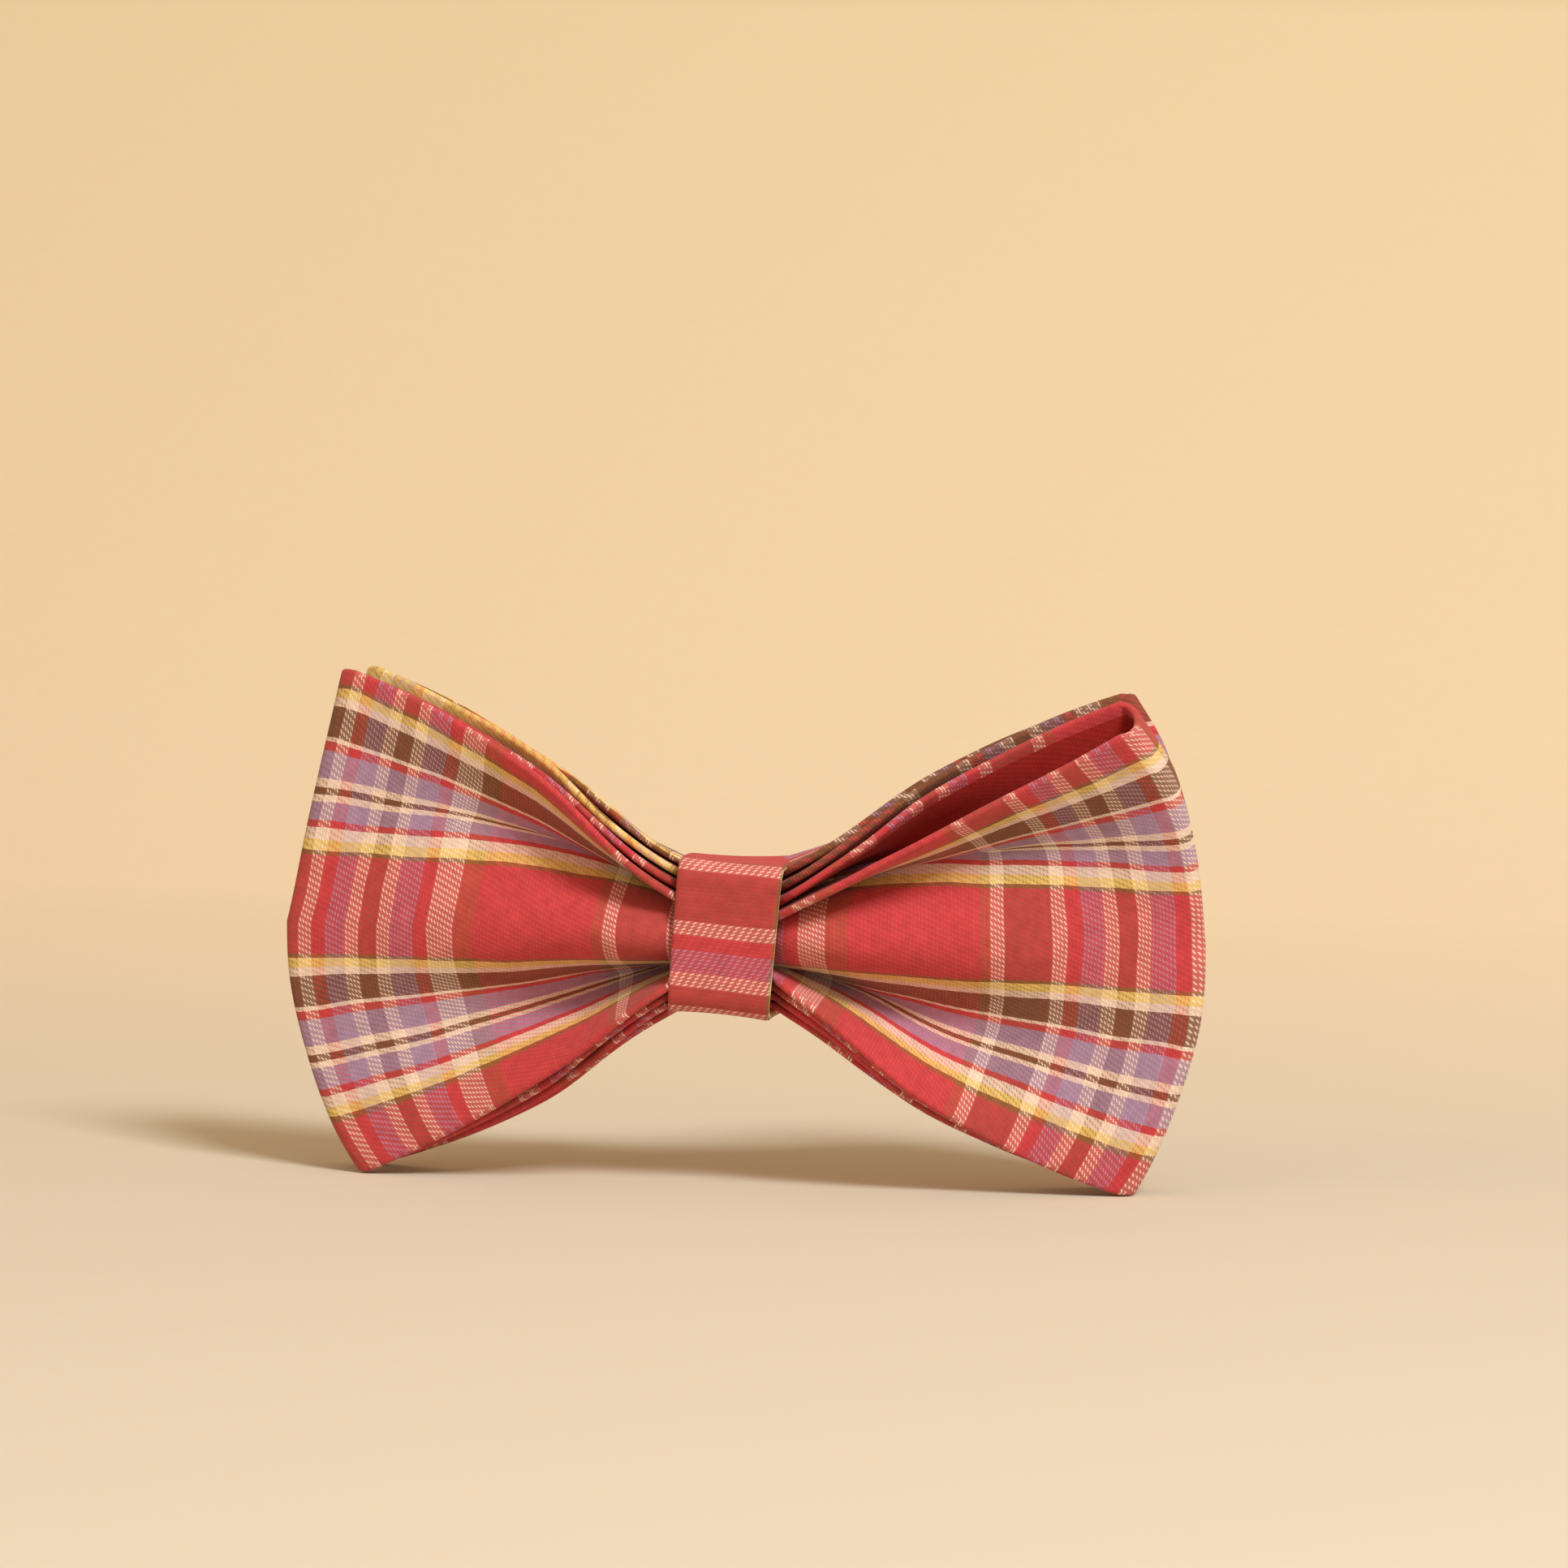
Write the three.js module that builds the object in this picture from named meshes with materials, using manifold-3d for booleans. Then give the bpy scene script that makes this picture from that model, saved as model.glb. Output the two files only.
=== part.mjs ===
// A pre-tied bow tie on a metal clip: a front bow and a back bow, each one a folded tube of plaid
// cotton closed into a ring, gathered at the waist by a thread and held by a centre band.
// Millimetres. +X is to the right as seen from the front, -Y is the front and +Z is up.
import * as THREE from 'three';
import { mergeVertices } from 'three/addons/utils/BufferGeometryUtils.js';
import Module from 'manifold-3d';

const wasm = await Module();
wasm.setup();

// The bows: height of the strip, width over the outer folds, and the height left at the waist.
const BOW_HEIGHT = 66;
const FRONT_BOW_WIDTH = 120;
const BACK_BOW_WIDTH = 117;
const WAIST_HEIGHT = 17;
const CENTRE_Z = BOW_HEIGHT / 2;

// A strip is two plies of cotton with one layer of interfacing lying loose between them.
const PLY = 0.3;
const INTERFACING = 0.2;
const PLY_CLEARANCE = 0.1;
const STRIP_THICKNESS = 2 * (PLY + PLY_CLEARANCE) + INTERFACING;
const INTERFACING_EDGE_INSET = 1.2;
const INTERFACING_END_INSET = 0.8;
const STRIP_END_GAP = 1.0;

// Plan shape of the loops.
const WAIST_HALF_LENGTH = 7.5;
const PANEL_PITCH = 1.8;
const FOLD_RADIUS = 1.7;
const FRONT_LOOP_SWELL = 3.8;
const BACK_LOOP_SWELL = 1.5;
const BOW_PARTING = 0.8;
const WING_SWEEP = 7.2;
const CORNER_PULL_IN = 0.14;

// The pleat across each panel: two valleys beside a middle ridge.
const PLEAT_DEPTH = 3.5;
const PLEAT_LENGTH = 38;
const STRIP_ROWS = 8;
const ROW_STEP = 0.05;
const FOLD_STEPS = 4;
const PANEL_STATIONS = [0, 5, WAIST_HALF_LENGTH, 11, 16, 22, 29, 37, 46, 54];

// The centre band, wrapped once round the waist with its outer end lapped over the back.
const BAND_WIDTH = 13.6;
const BAND_HEIGHT = 20.4;
const BAND_FRONT_Y = -7.0;
const BAND_BACK_Y = 8.1;
const BAND_CORNER = 1.6;
const BAND_LAP_STEP = 1.2;
const BAND_INNER_END_Z = 3;
const BAND_OUTER_END_Z = -5;
const BAND_COLUMNS = 4;

// Threads.
const THREAD_RADIUS = 0.2;
const GATHER_HALF_DEPTH = 5.35;
const GATHER_HALF_HEIGHT = 8.8;
const GATHER_CORNER = 0.6;
const GATHER_TURNS = 3;
const GATHER_PITCH = 1.2;
const STITCH_RADIUS = 0.15;
const STITCH_COUNT = 7;
const STITCH_REACH = 1.1;

// The clip: a cranked base plate held under the back of the band, and a sprung jaw on each arm.
const PLATE = 0.6;
const CLIP_HEIGHT = 9;
const CLIP_ARM_Y = 8.7;
const CLIP_MIDDLE_Y = 6.3;
const CLIP_TIP_X = 22;
const CLIP_LIP = 1.4;
const LIP_SLANT = 0.9;
const JAW_TIP_Y = 10.75;
const PIVOT_X = 14;
const PIVOT_Y = 10.9;
const PIVOT_HOLE = 0.7;
const EAR_RADIUS = 2.2;
const EAR_CLEARANCE = 0.3;
const PIN_RADIUS = 0.6;
const PIN_HEAD_RADIUS = 1.0;
const PIN_HEAD = 0.4;
const TOOTH_COUNT = 4;
const TOOTH_DEPTH = 0.8;
const NOTCH_SHARE = 0.35;
const NOTCH_REACH = 1.5;
const SPRING_WIRE = 0.2;
const SPRING_RADIUS = 1.1;
const SPRING_TURNS = 4;
const SPRING_HEIGHT = 4;

const COTTON_RED = 0xc5494b;
const INTERFACING_WHITE = 0xe9e4da;
const THREAD_RED = 0xa83238;
const NICKEL = 0xb9bcc0;

const group = new THREE.Group();
group.name = 'bow_tie';

function addMesh(name, geometry, color, roughness, metalness) {
  const material = new THREE.MeshStandardMaterial({ color, roughness, metalness });
  material.name = `${name}_material`;
  const mesh = new THREE.Mesh(geometry, material);
  mesh.name = name;
  group.add(mesh);
}

// ---- solids from rings of points -----------------------------------------------------------

function signedVolume(points, faces) {
  const cross = new THREE.Vector3();
  let total = 0;
  for (const [a, b, c] of faces) {
    total += points[a].dot(cross.crossVectors(points[b], points[c]));
  }
  return total / 6;
}

// One closed body from its points and triangles, turned so that its faces look outwards.
function solid(points, faces) {
  const outward = signedVolume(points, faces) > 0;
  const index = faces.flatMap(([a, b, c]) => (outward ? [a, b, c] : [a, c, b]));
  const geometry = new THREE.BufferGeometry();
  const flat = points.flatMap((p) => [p.x, p.y, p.z]);
  geometry.setAttribute('position', new THREE.Float32BufferAttribute(flat, 3));
  geometry.setIndex(index);
  geometry.computeVertexNormals();
  return geometry;
}

function pushQuad(faces, a, b, c, d) {
  faces.push([a, b, c], [a, c, d]);
}

// The side faces between consecutive rings. Ring i starts at point start + i * size. The second
// half of a ring is split along the other diagonal, so that both faces of a strip bend alike.
function pushSides(faces, start, ringCount, size, inward) {
  for (let i = 0; i < ringCount - 1; i++) {
    for (let j = 0; j < size; j++) {
      const near = start + i * size + j;
      const nearNext = start + i * size + ((j + 1) % size);
      const corners = [near, nearNext, nearNext + size, near + size];
      if (j >= size / 2) corners.push(corners.shift());
      const [a, b, c, d] = corners;
      if (inward) pushQuad(faces, a, d, c, b);
      else pushQuad(faces, a, b, c, d);
    }
  }
}

// A hollow sleeve, open at both ends: outer and inner rings hold the same number of points.
function sleeve(outer, inner) {
  const size = outer[0].length;
  const innerStart = outer.length * size;
  const points = [...outer.flat(), ...inner.flat()];
  const faces = [];
  pushSides(faces, 0, outer.length, size, false);
  pushSides(faces, innerStart, inner.length, size, true);
  const lastOuter = (outer.length - 1) * size;
  const lastInner = innerStart + lastOuter;
  for (let j = 0; j < size; j++) {
    const next = (j + 1) % size;
    pushQuad(faces, j, innerStart + j, innerStart + next, next);
    pushQuad(faces, lastOuter + j, lastOuter + next, lastInner + next, lastInner + j);
  }
  return solid(points, faces);
}

// A solid bar through flat rings, each of which runs out along one side and back along the other.
function flatBar(rings) {
  const size = rings[0].length;
  const half = size / 2;
  const last = (rings.length - 1) * size;
  const faces = [];
  pushSides(faces, 0, rings.length, size, false);
  for (let j = 0; j < half - 1; j++) {
    const across = size - 1 - j;
    pushQuad(faces, j, across, across - 1, j + 1);
    pushQuad(faces, last + j, last + j + 1, last + across - 1, last + across);
  }
  return solid(rings.flat(), faces);
}

// A round wire or thread along a line of points.
function wire(path, radius, sides = 6) {
  const rings = [];
  const side = new THREE.Vector3(0.31, 0.17, 0.94);
  path.forEach((point, i) => {
    const before = path[Math.max(i - 1, 0)];
    const after = path[Math.min(i + 1, path.length - 1)];
    const along = after.clone().sub(before).normalize();
    side.addScaledVector(along, -side.dot(along)).normalize();
    const up = along.clone().cross(side);
    const ring = [];
    for (let j = 0; j < sides; j++) {
      const angle = (2 * Math.PI * j) / sides;
      const out = side.clone().multiplyScalar(Math.cos(angle)).addScaledVector(up, Math.sin(angle));
      ring.push(point.clone().addScaledVector(out, radius));
    }
    rings.push(ring);
  });
  return flatBar(rings);
}

// ---- strips of folded cloth ----------------------------------------------------------------

// The points of a strip's ring at one station: out along one face and back along the other.
// The two edge rows are drawn in towards their neighbours by the inset.
function stripRing(surface, station, rows, halfThickness, inset) {
  const places = [];
  for (let j = 0; j <= rows; j++) places.push(surface(station, (2 * j) / rows - 1));
  for (const [edge, inside] of [[0, 1], [rows, rows - 1]]) {
    const share = inset / places[edge].point.distanceTo(places[inside].point);
    places[edge].point.lerp(places[inside].point, share);
    places[edge].normal.lerp(places[inside].normal, share);
  }
  const front = places.map((p) => p.point.clone().addScaledVector(p.normal, halfThickness));
  const back = places.map((p) => p.point.clone().addScaledVector(p.normal, -halfThickness));
  return [...front, ...back.reverse()];
}

function stripRings(surface, last, rows, halfThickness, inset) {
  const made = [];
  for (let i = 0; i <= last; i++) made.push(stripRing(surface, i, rows, halfThickness, inset));
  return made;
}

function clothSleeve(surface, last, rows) {
  const outer = stripRings(surface, last, rows, STRIP_THICKNESS / 2, 0);
  const inner = stripRings(surface, last, rows, STRIP_THICKNESS / 2 - PLY, PLY);
  return sleeve(outer, inner);
}

function clothInterfacing(surface, last, rows) {
  return flatBar(stripRings(surface, last, rows, INTERFACING / 2, INTERFACING_EDGE_INSET));
}

// ---- the bows ------------------------------------------------------------------------------

function smooth(value) {
  const t = THREE.MathUtils.clamp(value, 0, 1);
  return t * t * (3 - 2 * t);
}

// How far a place on the wing is from the waist (0) towards the fold (1).
function wingShare(x, foldX) {
  return THREE.MathUtils.clamp((x - WAIST_HALF_LENGTH) / (foldX - WAIST_HALF_LENGTH), 0, 1);
}

function loopSwell(x, foldX, swell) {
  const share = wingShare(x, foldX);
  const atFold = (FOLD_RADIUS - PANEL_PITCH / 2) * smooth(share);
  return atFold + swell * Math.sin(Math.PI * share);
}

function halfHeight(x, foldX) {
  const share = wingShare(x, foldX);
  const grown = share * (1.45 - 0.45 * share * share);
  return WAIST_HEIGHT / 2 + (BOW_HEIGHT - WAIST_HEIGHT) / 2 * Math.min(grown, 1);
}

function sweepBack(x, foldX) {
  return WING_SWEEP * wingShare(x, foldX) ** 2;
}

// How far each bow stands from the middle plane between the two bows.
function parting(x, foldX) {
  const swells = loopSwell(x, foldX, FRONT_LOOP_SWELL) + loopSwell(x, foldX, BACK_LOOP_SWELL);
  return PANEL_PITCH + swells / 2 + BOW_PARTING * smooth(wingShare(x, foldX));
}

// The plan of one bow as a line of places from one back end round to the other.
function bowPlan(width, swell, direction) {
  const foldX = width / 2 - FOLD_RADIUS - STRIP_THICKNESS / 2;
  const middleY = (x) => direction * parting(x, foldX) + sweepBack(x, foldX);
  const gap = (x) => PANEL_PITCH / 2 + loopSwell(x, foldX, swell);
  const place = (side, x, y) => ({ x: side * x, y, reach: Math.min(x, foldX), foldX });
  const stations = [...PANEL_STATIONS, foldX];
  const panel = (side, face) => stations.map((x) => place(side, x, middleY(x) + face * gap(x)));
  const fold = (side) => {
    const turn = [];
    for (let i = 1; i < FOLD_STEPS; i++) {
      const angle = (Math.PI * i) / FOLD_STEPS;
      const x = foldX + FOLD_RADIUS * Math.sin(angle);
      turn.push(place(side, x, middleY(foldX) + FOLD_RADIUS * Math.cos(angle)));
    }
    return turn;
  };
  const right = [...panel(1, 1), ...fold(1), ...panel(1, -1).reverse()];
  const left = [...panel(-1, 1), ...fold(-1), ...panel(-1, -1).reverse()].reverse();
  return [...right, ...left.slice(1)];
}

// The middle surface of a bow's strip. share runs from -1 at the lower edge to 1 at the upper.
function bowSurface(plan, endGap) {
  const position = (station, v) => {
    const { x, y, reach, foldX } = plan[THREE.MathUtils.clamp(station, 0, plan.length - 1)];
    const height = halfHeight(reach, foldX);
    const pull = 1 - CORNER_PULL_IN * v * v * smooth(wingShare(reach, foldX));
    const depth = PLEAT_DEPTH * (1 - smooth((reach - WAIST_HALF_LENGTH) / PLEAT_LENGTH));
    const pleat = -0.5 * depth * Math.cos(2 * Math.PI * v);
    const isEnd = station === 0 || station === plan.length - 1;
    const endX = station === 0 ? endGap / 2 : -endGap / 2;
    return new THREE.Vector3(isEnd ? endX : x * pull, y + pleat, CENTRE_Z + height * v);
  };
  return (station, share) => {
    const along = position(Math.min(station + 1, plan.length - 1), share);
    along.sub(position(Math.max(station - 1, 0), share));
    const up = position(station, Math.min(share + ROW_STEP, 1));
    up.sub(position(station, Math.max(share - ROW_STEP, -1)));
    return { point: position(station, share), normal: up.cross(along).normalize() };
  };
}

function addBow(name, width, swell, direction) {
  const plan = bowPlan(width, swell, direction);
  const last = plan.length - 1;
  const cloth = clothSleeve(bowSurface(plan, STRIP_END_GAP), last, STRIP_ROWS);
  addMesh(name, cloth, COTTON_RED, 0.85, 0);
  const lining = bowSurface(plan, STRIP_END_GAP + 2 * INTERFACING_END_INSET);
  const layer = clothInterfacing(lining, last, STRIP_ROWS);
  addMesh(`${name}_interfacing`, layer, INTERFACING_WHITE, 0.95, 0);
}

// ---- the centre band -----------------------------------------------------------------------

// A line through corner points with each corner rounded; points are [a, b] pairs.
function roundedLine(corners, radius, steps) {
  const points = corners.map(([a, b]) => new THREE.Vector2(a, b));
  const line = [points[0]];
  for (let i = 1; i < points.length - 1; i++) {
    const corner = points[i];
    const from = points[i - 1].clone().sub(corner).normalize();
    const to = points[i + 1].clone().sub(corner).normalize();
    const half = Math.acos(THREE.MathUtils.clamp(from.dot(to), -1, 1)) / 2;
    const centre = from.clone().add(to).normalize().multiplyScalar(radius / Math.sin(half)).add(corner);
    const start = corner.clone().addScaledVector(from, radius / Math.tan(half)).sub(centre);
    const turn = (Math.PI - 2 * half) * Math.sign(to.cross(from));
    for (let k = 0; k <= steps; k++) {
      line.push(start.clone().rotateAround(new THREE.Vector2(), (turn * k) / steps).add(centre));
    }
  }
  line.push(points[points.length - 1]);
  return line;
}

function bandLine(endInset) {
  const front = BAND_FRONT_Y + STRIP_THICKNESS / 2;
  const back = BAND_BACK_Y - STRIP_THICKNESS / 2;
  const half = (BAND_HEIGHT - STRIP_THICKNESS) / 2;
  const corners = [
    [back, BAND_INNER_END_Z - endInset],
    [back, -half],
    [front, -half],
    [front, half],
    [back + BAND_LAP_STEP, half],
    [back + BAND_LAP_STEP, BAND_OUTER_END_Z + endInset],
  ];
  return roundedLine(corners, BAND_CORNER, 4);
}

function bandSurface(line) {
  return (station, share) => {
    const before = line[Math.max(station - 1, 0)];
    const after = line[Math.min(station + 1, line.length - 1)];
    const along = after.clone().sub(before).normalize();
    const here = line[station];
    const x = (share * BAND_WIDTH) / 2;
    const point = new THREE.Vector3(x, here.x, CENTRE_Z + here.y);
    return { point, normal: new THREE.Vector3(0, along.y, -along.x) };
  };
}

function addBand() {
  const line = bandLine(0);
  const cloth = clothSleeve(bandSurface(line), line.length - 1, BAND_COLUMNS);
  addMesh('centre_band', cloth, COTTON_RED, 0.85, 0);
  const inner = bandLine(INTERFACING_END_INSET);
  const layer = clothInterfacing(bandSurface(inner), inner.length - 1, BAND_COLUMNS);
  addMesh('centre_band_interfacing', layer, INTERFACING_WHITE, 0.95, 0);
}

// ---- the threads ---------------------------------------------------------------------------

function addGatheringThread() {
  const y = GATHER_HALF_DEPTH;
  const z = GATHER_HALF_HEIGHT;
  const start = [y, 0];
  const round = [[y, -z], [-y, -z], [-y, z], [y, z]];
  const corners = [start];
  for (let turn = 0; turn < GATHER_TURNS; turn++) corners.push(...round);
  corners.push(start);
  const line = roundedLine(corners, GATHER_CORNER, 2);
  let length = 0;
  const along = line.map((p, i) => (length += i ? p.distanceTo(line[i - 1]) : 0));
  const path = line.map((p, i) => {
    const x = GATHER_TURNS * GATHER_PITCH * (along[i] / length - 0.5);
    return new THREE.Vector3(x, p.x, CENTRE_Z + p.y);
  });
  addMesh('gathering_thread', wire(path, THREAD_RADIUS), THREAD_RED, 0.8, 0);
}

// The whip stitches that close the band: one thread crossing the lapped end to and fro.
function addBandStitches() {
  const lapY = BAND_BACK_Y + BAND_LAP_STEP + STITCH_RADIUS + 0.05;
  const bodyY = BAND_BACK_Y + STITCH_RADIUS + 0.05;
  const endZ = CENTRE_Z + BAND_OUTER_END_Z - STITCH_RADIUS - 0.05;
  const pitch = (BAND_WIDTH - 3) / STITCH_COUNT;
  const path = [];
  for (let i = 0; i < STITCH_COUNT; i++) {
    const x = (i - (STITCH_COUNT - 1) / 2) * pitch;
    const down = [
      new THREE.Vector3(x - 0.2, lapY, endZ + STITCH_REACH),
      new THREE.Vector3(x - 0.1, lapY, endZ),
      new THREE.Vector3(x, bodyY, endZ),
      new THREE.Vector3(x, bodyY, endZ - 0.5),
    ];
    const up = [
      new THREE.Vector3(x + pitch / 2, bodyY, endZ - 0.5),
      new THREE.Vector3(x + pitch / 2, bodyY, endZ),
      new THREE.Vector3(x + pitch / 2, lapY, endZ),
      new THREE.Vector3(x + pitch / 2, lapY, endZ + STITCH_REACH),
    ];
    path.push(...down, ...up);
  }
  addMesh('band_stitches', wire(path, STITCH_RADIUS), THREAD_RED, 0.8, 0);
}

// ---- the clip ------------------------------------------------------------------------------

function toManifold(geometry) {
  const plain = geometry.clone();
  plain.deleteAttribute('normal');
  plain.deleteAttribute('uv');
  const merged = mergeVertices(plain, 1e-4);
  const triVerts = new Uint32Array(merged.index.array);
  const vertProperties = new Float32Array(merged.attributes.position.array);
  return new wasm.Manifold(new wasm.Mesh({ numProp: 3, vertProperties, triVerts }));
}

function fromManifold(body) {
  const { numProp, vertProperties, triVerts } = body.getMesh();
  const points = [];
  for (let i = 0; i < vertProperties.length; i += numProp) {
    points.push(new THREE.Vector3(vertProperties[i], vertProperties[i + 1], vertProperties[i + 2]));
  }
  const faces = [];
  for (let i = 0; i < triVerts.length; i += 3) {
    faces.push([triVerts[i], triVerts[i + 1], triVerts[i + 2]]);
  }
  return solid(points, faces);
}

// Bent sheet metal: a plan line given thickness and raised over the height zLow to zHigh.
function bentSheet(corners, zLow, zHigh) {
  const line = roundedLine(corners, PLATE, 2);
  const rings = [];
  line.forEach((here, i) => {
    const before = line[Math.max(i - 1, 0)];
    const after = line[Math.min(i + 1, line.length - 1)];
    const along = after.clone().sub(before).normalize();
    const across = new THREE.Vector2(-along.y, along.x).multiplyScalar(PLATE / 2);
    const a = here.clone().add(across);
    const b = here.clone().sub(across);
    rings.push([
      new THREE.Vector3(a.x, a.y, zLow),
      new THREE.Vector3(a.x, a.y, zHigh),
      new THREE.Vector3(b.x, b.y, zHigh),
      new THREE.Vector3(b.x, b.y, zLow),
    ]);
  });
  return toManifold(flatBar(rings));
}

function extruded(shape, zLow, zHigh, curveSegments) {
  const options = { depth: zHigh - zLow, bevelEnabled: false, curveSegments };
  const geometry = new THREE.ExtrudeGeometry(shape, options);
  geometry.translate(0, 0, zLow);
  return toManifold(geometry);
}

// One ear: a tab from the plate at plateY to a round end about the pivot, with the pin hole.
function ear(side, plateY, zLow, zHigh) {
  const towards = Math.sign(PIVOT_Y - plateY);
  const shape = new THREE.Shape();
  const x = side * PIVOT_X;
  shape.moveTo(x - EAR_RADIUS, plateY);
  shape.lineTo(x + EAR_RADIUS, plateY);
  shape.lineTo(x + EAR_RADIUS, PIVOT_Y - towards * 0.6);
  shape.lineTo(x + EAR_RADIUS * 0.55, PIVOT_Y + towards * 1.3);
  shape.lineTo(x - EAR_RADIUS * 0.55, PIVOT_Y + towards * 1.3);
  shape.lineTo(x - EAR_RADIUS, PIVOT_Y - towards * 0.6);
  shape.closePath();
  const hole = new THREE.Shape();
  hole.absarc(x, PIVOT_Y, PIVOT_HOLE, 0, 2 * Math.PI);
  const drill = extruded(hole, zLow - 1, zHigh + 1, 10);
  return extruded(shape, zLow, zHigh, 1).subtract(drill);
}

// Both ears of a plate, set inwards from a half height.
function ears(side, plateY, halfHeightOut) {
  const top = CENTRE_Z + halfHeightOut;
  const bottom = CENTRE_Z - halfHeightOut;
  return ear(side, plateY, top - PLATE, top).add(ear(side, plateY, bottom, bottom + PLATE));
}

// A prism along X with its outline given as [y, z] corners.
function prismAlongX(corners, xLow, xHigh) {
  const shape = new THREE.Shape(corners.map(([y, z]) => new THREE.Vector2(y, z)));
  const geometry = new THREE.ExtrudeGeometry(shape, { depth: xHigh - xLow, bevelEnabled: false });
  const yAxis = new THREE.Vector3(0, 1, 0);
  const zAxis = new THREE.Vector3(0, 0, 1);
  const xAxis = new THREE.Vector3(1, 0, 0);
  geometry.applyMatrix4(new THREE.Matrix4().makeBasis(yAxis, zAxis, xAxis));
  geometry.translate(xLow, 0, 0);
  return toManifold(geometry);
}

// The notches that leave teeth on a tip at tipX: each narrows from mouthY to a point at rootY.
function toothNotches(tipX, mouthY, rootY, halfWidth) {
  const pitch = (2 * halfWidth) / TOOTH_COUNT;
  const cuts = [];
  for (let i = 0; i < TOOTH_COUNT; i++) {
    const z = CENTRE_Z + (i - (TOOTH_COUNT - 1) / 2) * pitch;
    const corners = [[rootY, z], [mouthY, z - NOTCH_SHARE * pitch], [mouthY, z + NOTCH_SHARE * pitch]];
    cuts.push(prismAlongX(corners, tipX - NOTCH_REACH, tipX + NOTCH_REACH));
  }
  return cuts.reduce((all, cut) => all.add(cut));
}

function addClipBase() {
  const y = CLIP_ARM_Y;
  const arm = (side) => [
    [side * 7.4, CLIP_MIDDLE_Y],
    [side * 9.6, y],
    [side * (CLIP_TIP_X - LIP_SLANT), y],
    [side * CLIP_TIP_X, y + CLIP_LIP],
  ];
  const corners = [...arm(-1).reverse(), ...arm(1)];
  const low = CENTRE_Z - CLIP_HEIGHT / 2;
  let body = bentSheet(corners, low, low + CLIP_HEIGHT);
  for (const side of [-1, 1]) {
    body = body.add(ears(side, y, CLIP_HEIGHT / 2));
    const mouthY = y + CLIP_LIP + PLATE;
    const rootY = y + CLIP_LIP - TOOTH_DEPTH / 2;
    body = body.subtract(toothNotches(side * CLIP_TIP_X, mouthY, rootY, CLIP_HEIGHT / 2));
  }
  addMesh('clip_base', fromManifold(body), NICKEL, 0.35, 1);
}

function addClipJaw(side, name) {
  const half = CLIP_HEIGHT / 2 - PLATE - EAR_CLEARANCE;
  const corners = [
    [8, 16.1],
    [10.6, 13.9],
    [12.6, 13.2],
    [17, 13.0],
    [20.8, 12.2],
    [CLIP_TIP_X - 0.1, JAW_TIP_Y],
  ].map(([x, y]) => [side * x, y]);
  const plate = bentSheet(corners, CENTRE_Z - half, CENTRE_Z + half);
  const mouthY = JAW_TIP_Y - PLATE;
  const notches = toothNotches(side * CLIP_TIP_X, mouthY, JAW_TIP_Y + TOOTH_DEPTH / 2, half);
  const body = plate.add(ears(side, 13.1, half)).subtract(notches);
  addMesh(name, fromManifold(body), NICKEL, 0.35, 1);
}

function addClipPin(side, name) {
  const ear = CLIP_HEIGHT / 2 + 0.1;
  const end = ear + PIN_HEAD;
  const profile = [
    [0, -end],
    [PIN_HEAD_RADIUS, -end],
    [PIN_HEAD_RADIUS, -ear],
    [PIN_RADIUS, -ear],
    [PIN_RADIUS, ear],
    [PIN_HEAD_RADIUS, ear],
    [PIN_HEAD_RADIUS, end],
    [0, end],
  ].map(([r, h]) => new THREE.Vector2(r, h));
  const geometry = new THREE.LatheGeometry(profile, 12);
  geometry.rotateX(Math.PI / 2);
  geometry.translate(side * PIVOT_X, PIVOT_Y, CENTRE_Z);
  addMesh(name, fromManifold(toManifold(geometry)), NICKEL, 0.3, 1);
}

// A torsion spring round the pin, one leg out along the arm and one under the thumb tab.
function addClipSpring(side, name) {
  const steps = 12 * SPRING_TURNS + 6;
  const path = [new THREE.Vector3(4.6, -1.5, -SPRING_HEIGHT / 2)];
  for (let i = 0; i <= steps; i++) {
    const angle = -Math.PI / 2 + (Math.PI * i) / 6;
    const height = SPRING_HEIGHT * (i / steps - 0.5);
    path.push(new THREE.Vector3(-SPRING_RADIUS * Math.cos(angle), SPRING_RADIUS * Math.sin(angle), height));
  }
  path.push(new THREE.Vector3(-3.1, 1.95, SPRING_HEIGHT / 2));
  const placed = path.map((p) => new THREE.Vector3(side * (PIVOT_X + p.x), PIVOT_Y + p.y, CENTRE_Z + p.z));
  addMesh(name, wire(placed, SPRING_WIRE), NICKEL, 0.3, 1);
}

addBow('front_bow', FRONT_BOW_WIDTH, FRONT_LOOP_SWELL, -1);
addBow('back_bow', BACK_BOW_WIDTH, BACK_LOOP_SWELL, 1);
addBand();
addGatheringThread();
addBandStitches();
addClipBase();
for (const [side, word] of [[-1, 'left'], [1, 'right']]) {
  addClipJaw(side, `clip_jaw_${word}`);
  addClipPin(side, `clip_pin_${word}`);
  addClipSpring(side, `clip_spring_${word}`);
}

// The finished tie stands centred on the origin.
const box = new THREE.Box3().setFromObject(group);
const centre = box.getCenter(new THREE.Vector3());
const shift = new THREE.Vector3(-centre.x, -centre.y, -box.min.z);
group.children.forEach((mesh) => mesh.geometry.translate(shift.x, shift.y, shift.z));

export default group;
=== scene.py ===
"""A pre-tied plaid bow tie on its clip, standing on a pale sweep in soft studio light."""

import math

import bpy
import numpy as np
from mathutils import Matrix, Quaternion, Vector


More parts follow.
